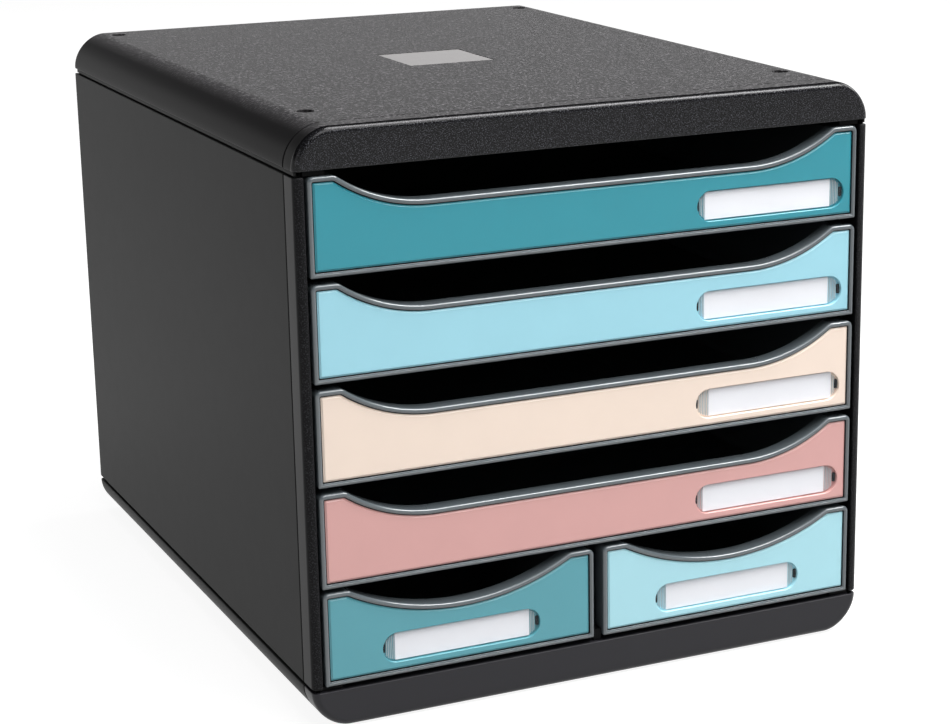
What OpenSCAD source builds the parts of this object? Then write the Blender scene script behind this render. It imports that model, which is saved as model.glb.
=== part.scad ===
// Desktop drawer cabinet: a moulded casing with four full-width drawers
// over two small ones. Front is -Y, +Z is up, millimetres.
// The origin is the middle of the footprint, on the surface it stands on.

/* [Cabinet] */
// Width across the side panels
case_w = 278; // [250:1:330]
// Depth from the drawer fronts to the back
case_d = 347; // [300:1:420]
// Thickness of the side panels and front strips
wall_t = 3; // [2.5:0.1:5]
// Width of the front strips' front faces
strip_w = 4.4; // [3:0.1:4.6]
// Thickness of the back panel
back_t = 3; // [2:0.1:6]
// Depth of the separate trim along the front edges
trim_d = 12.4; // [9:0.1:20]
// Width of the seam between the front trim and the casing
seam_w = 1; // [0.4:0.1:2]
// Width of that seam across the top of the lid
top_seam_w = 0.4; // [0.2:0.1:2]
// Radius of the rounded front edges
front_edge_r = 3.3; // [1:0.1:4]

/* [Base] */
// Height of the stacking feet
foot_h = 1; // [0.5:0.1:4]
// Radius of a stacking foot
foot_r = 3.6; // [2:0.1:8]
// Height of the base moulding
base_h = 17.5; // [14:0.1:30]
// Radius of the long lower edges
base_edge_r = 17; // [8:0.1:17]
// Groove between the base and the side panels
base_groove_h = 1.6; // [0.6:0.1:3]
// Height of the lowest drawers over the foot of the side panels
sill_h = 0.65; // [0.5:0.05:3]

/* [Lid] */
// Height of the lid moulding
lid_h = 17.9; // [14:0.1:30]
// Radius of the long upper edges
lid_edge_r = 16.8; // [8:0.1:17]
// Groove between the side panels and the lid
lid_groove_h = 2.5; // [1.6:0.1:5]
// Gap between the top drawer's front and the lid
lid_gap_h = 2.6; // [2:0.1:5]
// Wall thickness of the lid and the base
shell_t = 3; // [2:0.1:4]
// Thickness of the cross walls that close their front ends
end_wall_t = 2.5; // [1.5:0.1:5]
// Height of the stiffening ribs inside the lid and the base
rib_h = 6; // [2:0.1:10]
// Distance from the cabinet's side to the middle of a stacking socket
socket_side = 21.5; // [20:0.5:40]
// Distance from the drawer fronts to the front stacking sockets
socket_front = 43; // [30:0.5:90]
// Distance from the back to the rear stacking sockets
socket_back = 13; // [12:0.5:90]
// Radius of a stacking socket
socket_r = 3.8; // [3.7:0.1:9]
// Depth of a stacking socket
socket_depth = 1.6; // [0.8:0.1:1.8]
// Side of the square badge plate
badge_w = 43.5; // [20:0.5:80]
// Thickness of the badge plate
badge_t = 0.8; // [0.5:0.1:1.5]
// Sideways place of the badge plate
badge_x = -4; // [-40:1:40]
// Place of the badge plate from the middle of the depth
badge_y = -4.5; // [-40:0.5:40]

/* [Drawer fronts] */
// Height of every drawer front
drawer_h = 43; // [38:0.1:70]
// Gap between two full-width drawers
row_gap = 2.9; // [2.5:0.05:6]
// Gap between the small drawers and the drawer above them
small_row_gap = 2.05; // [2.05:0.05:6]
// Gap between a drawer front and the side of its bay
side_gap = 2.8; // [2:0.1:6]
// Gap between the two small drawers
middle_gap = 4.6; // [4.6:0.1:10]
// Depth of the rim around a drawer front
rim_d = 8.5; // [6:0.1:14]
// Thickness of that rim
rim_t = 2.1; // [1.5:0.1:2.4]
// Outer radius of the rim's top corners
rim_corner_r = 2.8; // [1:0.1:5]
// Length of the level shoulder at each end of the rim
shoulder = 11; // [8:0.5:25]
// Depth of the finger scoop under the shoulders
scoop_h = 13.8; // [6:0.1:18]
// Length of the sloping end of a full-width drawer's scoop
scoop_run = 44; // [25:1:70]
// Radius of the bend where the shoulder turns down
kink_r = 4.5; // [4.2:0.1:8]

/* [Coloured fronts] */
// Gap between the rim and the coloured front
insert_gap = 0.4; // [0.2:0.1:0.6]
// Thickness of the coloured front
insert_t = 2.8; // [2.6:0.1:4]
// Depth of its border behind the rim's front face
insert_back = 1; // [0.6:0.1:2]
// Width of the border around the raised field
border_w = 1.2; // [0.6:0.1:1.2]
// Height of the raised field over the border
field_h = 0.4; // [0.2:0.1:0.6]

/* [Labels] */
// Length of the label window
window_w = 76.4; // [50:0.1:100]
// Height of the label window
window_h = 13.8; // [10:0.1:18]
// Height of the window's lower edge over the drawer's lower edge
window_up = 5.9; // [5:0.1:9]
// Distance from a full-width drawer's end to its label window
window_side = 6.5; // [6:0.5:60]
// Gap around the clear window in its pocket
window_gap = 0.2; // [0.1:0.05:0.5]
// Depth of the label pocket
pocket_depth = 2; // [1.8:0.1:2.2]
// Thickness of the clear window over the label
window_t = 0.9; // [0.6:0.1:1]
// Depth of the window's face behind the raised field
window_sink = 0.3; // [0.1:0.1:0.4]
// Gap between the window's end and the paper label
label_end_gap = 5.5; // [5.5:0.1:20]
// Gap between the window's long edges and the paper label
label_edge_gap = 0.6; // [0.5:0.1:3]
// Thickness of the paper label
label_t = 0.3; // [0.1:0.05:0.4]
// How far the third drawer's label has slipped to the right
label_slip = 1.7; // [-1.8:0.1:1.8]
// How far the labels of the other full-width drawers sit to the left
label_lag = 1.1; // [-1.6:0.1:1.6]
// How far the small drawers' labels sit to the right
small_label_slip = 0.6; // [-1.6:0.1:1.6]
// Width of the release notch at each end of the window
notch_w = 1.6; // [0.8:0.1:2.4]
// Height of the release notch
notch_h = 4.4; // [2:0.1:6]
// Length of the feet that hold the window's ends off the pocket's floor
window_foot = 3.2; // [2.5:0.1:3.5]
// Height of the grip ribs behind the window's ends
grip_h = 0.3; // [0.1:0.05:0.4]
// Width of the grooves between the grip ribs
groove_w = 0.4; // [0.2:0.05:0.6]
// Spacing of the grip ribs
groove_pitch = 1; // [0.8:0.1:2]

/* [Drawer trays] */
// Wall thickness of the trays
tray_t = 1.6; // [1.2:0.1:3]
// Thickness of the web behind a coloured front
web_t = 1.8; // [1.2:0.1:3]
// How far the tray walls stay below the shoulders of the front
tray_drop = 2.3; // [2:0.1:10]
// Free space behind a closed tray
rear_clear = 8.5; // [4:0.5:30]
// How far a drawer pulls out before its stops meet
travel = 250; // [100:1:280]
// Height of the stops and of the ears that meet them
stop_h = 6; // [3:0.5:12]
// Length of a tray's ear
ear_l = 6; // [3:0.5:12]
// Length of a stop on the runner
stop_l = 4; // [2:0.5:10]
// Play left between an ear and its stop
stop_play = 0.3; // [0.2:0.05:1]
// Gap between a tray wall and the stop it slides past
stop_gap = 1; // [0.5:0.1:1.5]
// Gap between an ear and the runner plate or divider beside it
ear_gap = 0.6; // [0.4:0.1:0.8]

/* [Runners] */
// Thickness of the runner plates on the side panels
rack_t = 1.5; // [1:0.1:1.9]
// Reach of a runner ledge from the bay's side
ledge_w = 11.3; // [9:0.1:16]
// Thickness of a runner ledge
ledge_t = 1.9; // [1.2:0.1:1.9]
// Distance from the cabinet's front to the front ends of the sills
sill_back = 2; // [1:0.1:6]
// Thickness of the wall between the small drawers
divider_t = 2; // [1.2:0.1:2.2]
// Reach of the divider's ledges from its middle
divider_ledge = 9; // [7:0.1:16]
// Height of the divider over the fronts of the small drawers
divider_rise = 0.8; // [0.2:0.1:1.5]
// Height of the divider's front block over the base
block_h = 5.6; // [3:0.1:12]
// Play around parts that slide or snap together
play = 0.4; // [0.3:0.05:0.6]

/* [Hidden] */
$fn = 64;
eps = 0.01;
cut = 1;            // how far a cut runs past the surface it opens
lip_t = 1;          // how far a lid or base lip laps each wall
tab_w = 24;         // width of a snap tab
tab_t = 1.6;        // thickness of a snap tab
tab_reach = 5;      // how far a tab reaches into the front trim
strip_tongue = 1.4; // thickness of the tongue that holds a front strip
rib_t = 2;          // thickness of a stiffening rib
rack_inset = 2;     // how far runner plates and ledges stay off the casing's ends
insert_r = 0.5;     // least corner radius of the coloured fronts
badge_sink = 0.1;   // how far the badge plate stays below the lid
edge_land = 0.2;    // least flat left beside a long rounded edge

base_top = foot_h + base_h;
panel_z0 = base_top + base_groove_h;
small_z = panel_z0 + sill_h;
function row_z(row) = small_z + drawer_h + small_row_gap + (4 - row) * (drawer_h + row_gap);
lid_z = row_z(1) + drawer_h + lid_gap_h;
panel_z1 = lid_z - lid_groove_h;
lid_top = lid_z + lid_h;
base_r = min(base_edge_r, base_h - edge_land);
lid_r = min(lid_edge_r, lid_h - edge_land);

half_w = case_w / 2;
bay_x = half_w - wall_t;
rack_x = bay_x - rack_t;
ledge_x = bay_x - ledge_w;
front_y = -case_d / 2;
back_y = case_d / 2;
bay_back = back_y - back_t;
trim_y = front_y + trim_d;
cover_y = trim_y + seam_w;
socket_x = half_w - socket_side;
socket_y = [front_y + socket_front, back_y - socket_back];

full_w = 2 * (bay_x - side_gap);
small_w = (full_w - middle_gap) / 2;
small_x = (small_w + middle_gap) / 2;
full_label = full_w / 2 - window_side - window_w / 2;
insert_edge = rim_t + insert_gap;
insert_rear = front_y + insert_back + insert_t;
field_y = front_y + insert_back - field_h;
pocket_y = field_y + pocket_depth;
window_y = field_y + window_sink;
label_w = window_w - 2 * label_end_gap;
label_h = window_h - 2 * label_edge_gap;
web_rear = insert_rear + web_t;
tray_h = drawer_h - tray_drop;
tray_back = bay_back - rear_clear;
stop_y = tray_back - ear_l - travel - stop_play;

// One row per drawer: middle x, width, lower edge z, window x, scoop slope length, label slip
DRAWERS = [
    [0, full_w, row_z(1), full_label, scoop_run, -label_lag],
    [0, full_w, row_z(2), full_label, scoop_run, -label_lag],
    [0, full_w, row_z(3), full_label, scoop_run, label_slip],
    [0, full_w, row_z(4), full_label, scoop_run, -label_lag],
    [-small_x, small_w, small_z, 0, small_w / 2 - shoulder, small_label_slip],
    [small_x, small_w, small_z, 0, small_w / 2 - shoulder, small_label_slip]
];
COLOURS = [
    [0.29, 0.61, 0.67], [0.63, 0.86, 0.91], [0.96, 0.89, 0.83],
    [0.84, 0.64, 0.63], [0.39, 0.63, 0.68], [0.68, 0.87, 0.92]
];
CASING_COLOUR = [0.24, 0.24, 0.25];
BAY_COLOUR = [0.14, 0.14, 0.15];
RIM_COLOUR = [0.44, 0.46, 0.48];

// A box from its lowest corner to its highest
module block(low, high) {
    translate(low)
        cube([high[0] - low[0], high[1] - low[1], high[2] - low[2]]);
}

// Both sides of something that is drawn on the right
module both_sides() {
    children();
    mirror([1, 0, 0])
        children();
}

// Extrude an outline drawn in x and z from y0 to y1
module along_y(y0, y1) {
    translate([0, y1, 0])
        rotate([90, 0, 0])
            linear_extrude(y1 - y0)
                children();
}

// ---------- casing shells ----------

// End view of a cap of width w and height h with two rounded upper edges
module cap_outline(w, h, r) {
    intersection() {
        translate([-w / 2, 0])
            square([w, h]);
        union() {
            translate([-w / 2, -cut])
                square([w, h - r + cut]);
            translate([r - w / 2, -cut])
                square([w - 2 * r, h + cut]);
            for (side = [-1, 1])
                translate([side * (w / 2 - r), h - r])
                    circle(r);
        }
    }
}

// A cap whose front face, at y = 0, has edges of radius e
module cap_front(w, h, r, e, depth) {
    along_y(0, e)
        cap_outline(w - 2 * e, h - e, r - e);
    along_y(e, depth)
        cap_outline(w, h, r);
    translate([r - w / 2, e, h - e])
        rotate([0, 90, 0])
            cylinder(r = e, h = w - 2 * r);
    both_sides() {
        translate([w / 2 - e, e, 0])
            cylinder(r = e, h = h - r);
        translate([w / 2 - r, e, h - r])
            rotate([90, 0, 0])
                rotate_extrude(angle = 90)
                    translate([r - e, 0])
                        circle(e);
    }
}

// Hollow cap from cover_y to the back, open below, with ribs that leave a gap in the middle
module cap_shell(h, r, rib_gap) {
    difference() {
        along_y(cover_y, back_y)
            cap_outline(case_w, h, r);
        along_y(cover_y + end_wall_t, bay_back)
            translate([0, -eps])
                cap_outline(case_w - 2 * shell_t, h - shell_t + eps, r - shell_t);
    }
    both_sides()
        for (y = [front_y + case_d / 3, back_y - case_d / 3])
            block([rib_gap, y - rib_t / 2, h - shell_t - rib_h],
                  [half_w - r, y + rib_t / 2, h - shell_t + eps]);
}

// Lip that the side panels, runner plates and back panel meet, up to height h
module cap_lip(h) {
    both_sides()
        block([bay_x - lip_t + play, cover_y, -shell_t], [bay_x + lip_t, bay_back + lip_t, h]);
    block([lip_t - bay_x, bay_back - lip_t, -shell_t], [bay_x - lip_t, bay_back + lip_t, h]);
}

// Hollow front trim of a cap, open at the back, with lips that meet the front strips
module cap_trim(h, r, lip_h) {
    translate([0, front_y, 0])
        difference() {
            cap_front(case_w, h, r, front_edge_r, trim_d);
            along_y(shell_t, trim_d + cut)
                intersection() {
                    cap_outline(case_w - 2 * shell_t, h - shell_t, r - shell_t);
                    translate([-half_w, end_wall_t])
                        square([case_w, h]);
                }
        }
    both_sides()
        block([bay_x - lip_t + play, front_y + sill_back, -lip_h], [bay_x + lip_t, trim_y, end_wall_t]);
}

// Snap tabs from a cap into its front trim, against a ceiling at height z
module trim_tabs(z) {
    for (x = [-case_w / 3, 0, case_w / 3])
        block([x - tab_w / 2, trim_y - tab_reach, z - tab_t],
              [x + tab_w / 2, cover_y + end_wall_t, z]);
}

// Turn a cap over, so that its rounded edges are at height z
module upside_down(z) {
    translate([0, 0, z])
        mirror([0, 0, 1])
            children();
}

module base_tray() {
    color(CASING_COLOUR)
        upside_down(base_top) {
            cap_shell(base_h, base_r, divider_t / 2 + play);
            trim_tabs(base_h - shell_t);
            mirror([0, 0, 1])
                cap_lip(base_groove_h);
        }
}

module base_front_trim() {
    color(CASING_COLOUR)
        upside_down(base_top)
            cap_trim(base_h, base_r, base_groove_h);
}

module stacking_feet() {
    color([0.1, 0.1, 0.1])
        both_sides()
            for (y = socket_y)
                translate([socket_x, y, 0])
                    cylinder(r = foot_r, h = foot_h);
}

module top_cover() {
    color(CASING_COLOUR)
        difference() {
            translate([0, 0, lid_z]) {
                cap_shell(lid_h, lid_r, 0);
                trim_tabs(lid_h - shell_t);
                mirror([0, 0, 1])
                    cap_lip(lid_groove_h);
            }
            both_sides()
                for (y = socket_y)
                    translate([socket_x, y, lid_top - socket_depth])
                        cylinder(r = socket_r, h = socket_depth + cut);
            badge_space(play / 2, lid_top + cut);
        }
}

module top_front_trim() {
    flat = half_w - lid_r;
    color(CASING_COLOUR) {
        translate([0, 0, lid_z])
            cap_trim(lid_h, lid_r, lid_groove_h);
        block([-flat, trim_y - eps, lid_top - shell_t],
              [flat, cover_y - top_seam_w, lid_top]);
    }
}

// Square space of the badge plate, up to height z
module badge_space(gap, z) {
    half = badge_w / 2 + gap;
    block([badge_x - half, badge_y - half, lid_top - badge_t - badge_sink],
          [badge_x + half, badge_y + half, z]);
}

module badge_plate() {
    color([0.69, 0.68, 0.68])
        badge_space(0, lid_top - badge_sink);
}

module side_panel() {
    color(CASING_COLOUR) {
        block([bay_x, cover_y, panel_z0], [half_w, back_y, panel_z1]);
        block([bay_x, trim_y - tab_reach, panel_z0 + tab_t],
              [bay_x + strip_tongue, cover_y + eps, panel_z1 - tab_t]);
    }
}

module left_side_panel() {
    mirror([1, 0, 0])
        side_panel();
}

module right_side_panel() {
    side_panel();
}

module front_strip() {
    r = front_edge_r;
    inner_x = half_w - strip_w;
    color(CASING_COLOUR)
        difference() {
            intersection() {
                block([inner_x, front_y, panel_z0], [half_w, trim_y, panel_z1]);
                union() {
                    block([inner_x - r, front_y, panel_z0], [half_w - r, trim_y, panel_z1]);
                    block([inner_x - r, front_y + r, panel_z0], [half_w, trim_y, panel_z1]);
                    translate([half_w - r, front_y + r, panel_z0])
                        cylinder(r = r, h = panel_z1 - panel_z0);
                }
            }
            block([inner_x - cut, trim_y - tab_reach, panel_z0 + tab_t],
                  [bay_x + strip_tongue, trim_y + cut, panel_z1 - tab_t]);
        }
}

module left_front_strip() {
    mirror([1, 0, 0])
        front_strip();
}

module right_front_strip() {
    front_strip();
}

module back_panel() {
    color(CASING_COLOUR)
        block([-bay_x, bay_back, panel_z0], [bay_x, back_y, panel_z1]);
}

// ---------- runners ----------

// Runner plate of the right side, with a ledge and a stop for each drawer
module runner_rack() {
    rack_y = cover_y + rack_inset;
    ledge_back = bay_back - rack_inset;
    top_z = row_z(1) + drawer_h;
    color(BAY_COLOUR) {
        block([rack_x, rack_y, panel_z0], [bay_x, bay_back, panel_z1]);
        for (z = [small_z, row_z(4), row_z(3), row_z(2), row_z(1)]) {
            block([ledge_x, rack_y, z - ledge_t], [rack_x + eps, ledge_back, z]);
            block([full_w / 2 - rim_t + stop_gap, stop_y - stop_l, z - eps],
                  [rack_x + eps, stop_y, z + stop_h]);
        }
        // the lowest ledge runs on to the front as a sill
        block([ledge_x, front_y + sill_back, small_z - ledge_t], [rack_x, rack_y + eps, small_z]);
        // guide over the top drawer's walls, whose front end lies over its shoulders
        block([ledge_x, cover_y, top_z - tray_drop + play], [rack_x + eps, ledge_back, lid_z - play]);
        block([ledge_x, front_y + sill_back, top_z + play], [rack_x, cover_y + eps, lid_z - play]);
    }
}

module left_runner_rack() {
    mirror([1, 0, 0])
        runner_rack();
}

module right_runner_rack() {
    runner_rack();
}

// Upright wall between the small drawers, with a ledge and stop on each side
module centre_divider() {
    half = divider_t / 2;
    base_floor = foot_h + shell_t;
    wall_y = cover_y + end_wall_t;
    wall_back = bay_back - lip_t;
    block_x = middle_gap / 2 - play;
    color(BAY_COLOUR) {
        block([-half, wall_y, base_floor], [half, wall_back, small_z]);
        block([-half, cover_y, small_z - ledge_t],
              [half, wall_back, small_z + drawer_h + divider_rise]);
        block([-block_x, front_y + sill_back, base_top], [block_x, cover_y + eps, base_top + block_h]);
        both_sides() {
            block([0, wall_y, small_z - ledge_t], [divider_ledge, bay_back - rack_inset, small_z]);
            block([0, stop_y - stop_l, small_z - eps],
                  [middle_gap / 2 + rim_t - stop_gap, stop_y, small_z + stop_h]);
        }
    }
}

// ---------- drawers ----------

// Points of an arc about (x, z), angles from the +X direction
function arc(x, z, r, from, to, steps = 12) =
    [for (i = [0 : steps]) let (a = from + (to - from) * i / steps) [x + r * cos(a), z + r * sin(a)]];

function flipped(points) = [for (i = [len(points) - 1 : -1 : 0]) [-points[i][0], points[i][1]]];

// Right half of a drawer front's outline, drawn in by inset: lower corner,
// rounded upper corner, level shoulder, bend, and the sloping end of the scoop
function half_front(w, run, inset) =
    let (slope = 2 * atan(scoop_h / run))
    let (bow = run / sin(slope) - kink_r)
    let (flat = w / 2 - shoulder - run)
    let (corner = max(rim_corner_r - inset, insert_r))
    concat(
        [[w / 2 - inset, inset]],
        arc(w / 2 - inset - corner, drawer_h - inset - corner, corner, 0, 90, 6),
        arc(w / 2 - shoulder, drawer_h - kink_r, kink_r - inset, 90, 90 + slope, 4),
        arc(flat, drawer_h - scoop_h + bow, bow + inset, slope - 90, -90)
    );

module front_outline(w, run, inset) {
    right = half_front(w, run, inset);
    polygon(concat(right, flipped(right)));
}

// Stadium outline of a label window
module stadium(w, h) {
    square([w - h, h], center = true);
    for (side = [-1, 1])
        translate([side * (w - h) / 2, 0])
            circle(h / 2);
}

module at_label(d) {
    translate([d[0] + d[3], 0, d[2] + window_up + window_h / 2])
        children();
}

// Tray of a drawer: the rim and web of its front, a floor, three walls and two ears
module drawer_tray(d) {
    w = d[1];
    x1 = w / 2 - rim_t;
    outer_ear = rack_x - ear_gap;
    inner_ear = divider_t / 2 + ear_gap;
    ears = d[0] == 0 ? [-outer_ear, outer_ear]
        : d[0] > 0 ? [inner_ear - d[0], outer_ear - d[0]]
        : [-outer_ear - d[0], -inner_ear - d[0]];
    color(RIM_COLOUR)
        translate([d[0], 0, d[2]]) {
            along_y(front_y, front_y + rim_d)
                difference() {
                    front_outline(w, d[4], 0);
                    front_outline(w, d[4], rim_t);
                }
            along_y(insert_rear, web_rear)
                front_outline(w, d[4], rim_t / 2);
            block([-x1, web_rear - eps, 0], [x1, tray_back, tray_t]);
            block([-x1, tray_back - tray_t, 0], [x1, tray_back, tray_h]);
            both_sides()
                block([x1 - tray_t, web_rear - eps, 0], [x1, tray_back, tray_h]);
            block([ears[0], tray_back - ear_l, 0], [eps - x1, tray_back, stop_h]);
            block([x1 - eps, tray_back - ear_l, 0], [ears[1], tray_back, stop_h]);
        }
}

// Coloured front that sits inside the rim, with its label pocket
module drawer_front(d, colour) {
    notch_x = window_w / 2 - notch_w / 2;
    color(colour)
        difference() {
            translate([d[0], 0, d[2]]) {
                along_y(field_y, insert_rear)
                    front_outline(d[1], d[4], insert_edge + border_w);
                along_y(front_y + insert_back, insert_rear)
                    front_outline(d[1], d[4], insert_edge);
            }
            at_label(d) {
                along_y(field_y - cut, pocket_y)
                    stadium(window_w, window_h);
                for (side = [-1, 1])
                    block([side * notch_x - notch_w / 2, field_y - cut, -notch_h / 2],
                          [side * notch_x + notch_w / 2, insert_rear + cut, notch_h / 2]);
            }
        }
}

// Clear window: a thin face with ribbed ends and a foot at each end
module label_window(d) {
    w = window_w - 2 * window_gap;
    h = window_h - 2 * window_gap;
    end_x = label_w / 2 + window_gap;
    foot_x = w / 2 - window_foot;
    back = pocket_y + cut;
    color([0.9, 0.95, 0.97, 0.4])
        at_label(d)
            difference() {
                along_y(window_y, pocket_y)
                    stadium(w, h);
                block([-end_x, window_y + window_t, -h], [end_x, back, h]);
                block([-foot_x, window_y + window_t + grip_h, -h], [foot_x, back, h]);
                for (side = [-1, 1]) {
                    block([side * w / 2 - notch_w, window_y - cut, -notch_h / 2],
                          [side * w / 2 + notch_w, back, notch_h / 2]);
                    for (x = [end_x + groove_pitch / 2 : groove_pitch : foot_x - groove_w])
                        block([side * x - groove_w / 2, window_y + window_t, -h],
                              [side * x + groove_w / 2, window_y + window_t + grip_h, h]);
                }
            }
}

module paper_label(d) {
    color("white")
        at_label(d)
            block([d[5] - label_w / 2, pocket_y - label_t, -label_h / 2],
                  [d[5] + label_w / 2, pocket_y, label_h / 2]);
}

base_tray();
base_front_trim();
stacking_feet();
top_cover();
top_front_trim();
badge_plate();
left_side_panel();
right_side_panel();
left_front_strip();
right_front_strip();
back_panel();
left_runner_rack();
right_runner_rack();
centre_divider();
drawer_tray(DRAWERS[0]);  // drawer_1_tray
drawer_front(DRAWERS[0], COLOURS[0]);  // drawer_1_front
label_window(DRAWERS[0]);  // drawer_1_window
paper_label(DRAWERS[0]);  // drawer_1_label
drawer_tray(DRAWERS[1]);  // drawer_2_tray
drawer_front(DRAWERS[1], COLOURS[1]);  // drawer_2_front
label_window(DRAWERS[1]);  // drawer_2_window
paper_label(DRAWERS[1]);  // drawer_2_label
drawer_tray(DRAWERS[2]);  // drawer_3_tray
drawer_front(DRAWERS[2], COLOURS[2]);  // drawer_3_front
label_window(DRAWERS[2]);  // drawer_3_window
paper_label(DRAWERS[2]);  // drawer_3_label
drawer_tray(DRAWERS[3]);  // drawer_4_tray
drawer_front(DRAWERS[3], COLOURS[3]);  // drawer_4_front
label_window(DRAWERS[3]);  // drawer_4_window
paper_label(DRAWERS[3]);  // drawer_4_label
drawer_tray(DRAWERS[4]);  // left_small_tray
drawer_front(DRAWERS[4], COLOURS[4]);  // left_small_front
label_window(DRAWERS[4]);  // left_small_window
paper_label(DRAWERS[4]);  // left_small_label
drawer_tray(DRAWERS[5]);  // right_small_tray
drawer_front(DRAWERS[5], COLOURS[5]);  // right_small_front
label_window(DRAWERS[5]);  // right_small_window
paper_label(DRAWERS[5]);  // right_small_label
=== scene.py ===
"""Looks of a desktop drawer cabinet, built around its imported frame.

Lengths are millimetres along the frame's axes (+X right, +Y back, +Z up); MM turns them into metres.
"""

import math

import bmesh
import bpy
from mathutils import Matrix, Vector
from mathutils.geometry import tessellate_polygon

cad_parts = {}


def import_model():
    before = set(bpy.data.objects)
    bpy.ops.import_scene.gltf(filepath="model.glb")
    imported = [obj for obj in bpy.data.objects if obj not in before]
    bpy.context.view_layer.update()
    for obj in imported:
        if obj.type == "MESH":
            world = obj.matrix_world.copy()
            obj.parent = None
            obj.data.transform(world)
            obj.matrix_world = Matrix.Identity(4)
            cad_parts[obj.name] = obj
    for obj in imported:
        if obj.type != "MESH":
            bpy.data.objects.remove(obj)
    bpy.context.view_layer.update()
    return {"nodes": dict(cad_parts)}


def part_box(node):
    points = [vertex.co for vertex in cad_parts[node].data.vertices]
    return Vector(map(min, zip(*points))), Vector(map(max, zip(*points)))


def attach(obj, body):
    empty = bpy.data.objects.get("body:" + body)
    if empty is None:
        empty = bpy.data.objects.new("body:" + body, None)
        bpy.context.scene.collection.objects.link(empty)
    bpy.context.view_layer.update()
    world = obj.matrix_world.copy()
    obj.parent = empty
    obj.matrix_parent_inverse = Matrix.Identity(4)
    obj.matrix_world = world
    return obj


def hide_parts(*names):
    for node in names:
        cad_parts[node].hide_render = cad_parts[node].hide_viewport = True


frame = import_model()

MM = 0.001


def mm_box(node):
    """Lowest and highest corner of a CAD node, in millimetres."""
    low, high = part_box(node)
    return low / MM, high / MM


# ---------- sizes that the looks share with the construction ----------

WALL = 3.0          # wall of the lid and the base
END_WALL = 2.5      # front end walls of the covers, and sills of the trims
LIP = 1.0           # how far the lips lap the walls
SILL_BACK = 2.0     # from the front to the lips of the trims
SEAM_W = 1.0        # seam between a cap's front trim and its cover
PANEL_T = 3.0       # side panels
LONG_EDGE_R = 16.8  # long rounded edges of the lid
BASE_EDGE_R = 17.0  # long rounded edges of the base
FRONT_EDGE_R = 3.3  # front edges of the trims
LID_H = 17.9
BASE_H = 17.5
SOCKET_R = 3.8
SOCKET_DEPTH = 1.6
SOCKET_FRONT = 43.0  # from the front to the front sockets
SOCKET_BACK = 13.0   # from the back to the rear sockets
SOCKET_SIDE = 21.5   # from the side to all sockets
FOOT_H = 1.0
FOOT_R = 3.6

DRAWER_H = 43.0
RIM_D = 8.5
RIM_T = 2.1
RIM_CORNER_R = 2.8
RIM_LOW_R = 0.8      # lower corners of the rim
SHOULDER = 11.0
SCOOP_H = 13.8
SCOOP_RUN = 44.0     # length of the scoop's slopes on a wide drawer
WIDE = 200.0         # a drawer above this width is a wide one
KINK_R = 4.5
INSERT_EDGE = 2.5
INSERT_R = 0.5
INSERT_BACK = 1.0
INSERT_T = 2.8
FIELD_H = 0.4
WEB_T = 1.8
TRAY_H = 40.7
TRAY_T = 1.6
STOP_H = 6.0
EAR_L = 6.0
WINDOW_W = 76.4
WINDOW_H = 13.8
WINDOW_GAP = 0.2
WINDOW_T = 0.9
WINDOW_SINK = 0.3
POCKET_DEPTH = 2.0
NOTCH_W = 1.6
NOTCH_H = 4.4
NOTCH_R = 0.4
NOTCH_END = 0.1      # from the window's end to a notch
NOTCH_OUTER = WINDOW_W / 2 - NOTCH_END
NOTCH_INNER = NOTCH_OUTER - NOTCH_W

FRONT_Y = mm_box("top_front_trim")[0].y
COVER_HIGH = mm_box("top_cover")[1]
PANEL_LOW, PANEL_HIGH = mm_box("back_panel")
STRIP_LOW, STRIP_HIGH = mm_box("right_front_strip")
BADGE_LOW, BADGE_HIGH = mm_box("badge_plate")

HALF_W = COVER_HIGH.x
BACK_Y = COVER_HIGH.y
STRIP_X = STRIP_LOW.x
BAY_X = HALF_W - PANEL_T
BAY_BACK = PANEL_LOW.y
TRIM_Y = STRIP_HIGH.y
COVER_Y = TRIM_Y + SEAM_W
LID_TOP = COVER_HIGH.z
LID_Z = LID_TOP - LID_H
BASE_TOP = FOOT_H + BASE_H
PANEL_Z0 = PANEL_LOW.z
PANEL_Z1 = PANEL_HIGH.z
BORDER_Y = FRONT_Y + INSERT_BACK
INSERT_REAR = BORDER_Y + INSERT_T
WEB_REAR = INSERT_REAR + WEB_T
RIM_BACK = FRONT_Y + RIM_D


# ---------- mesh building ----------

BLOCK_R = 0.3
MAX_ROUND = 0.45     # largest radius of a block's edges, as a share of its shortest side
MERGE_DIST = 1e-7    # points closer than this are one, in metres
SHARP_ANGLE = 35.0   # edges above this angle stay sharp
CIRCLE_STEPS = 32
STADIUM_STEPS = 20


def arc(x, z, r, start, end, steps):
    """Points of an arc about (x, z), angles in degrees from the first axis."""
    angles = [math.radians(start + (end - start) * i / steps) for i in range(steps + 1)]
    return [(x + r * math.cos(a), z + r * math.sin(a)) for a in angles]


def circle(x, y, r):
    return arc(x, y, r, 0, 360 * (CIRCLE_STEPS - 1) / CIRCLE_STEPS, CIRCLE_STEPS - 1)


def rounded_rect(x0, z0, x1, z1, radii, inset=0.0, steps=6):
    """Outline of a rectangle with four corner radii (from x1, z0 on), drawn in by inset."""
    points = []
    corners = [(x1, z0, -1, 1, -90), (x1, z1, -1, -1, 0), (x0, z1, 1, -1, 90), (x0, z0, 1, 1, 180)]
    for (x, z, sx, sz, start), radius in zip(corners, radii):
        r = max(radius - inset, 0.1)
        points += arc(x + sx * (inset + r), z + sz * (inset + r), r, start, start + 90, steps)
    return points


def edge_rounding(r, steps):
    """(inset, depth) pairs of a quarter-round edge, from the front face's border to the side."""
    return [(r * (1 - math.sin(t)), r * (1 - math.cos(t)))
            for t in (math.pi / 2 * i / steps for i in range(steps + 1))]


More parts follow.
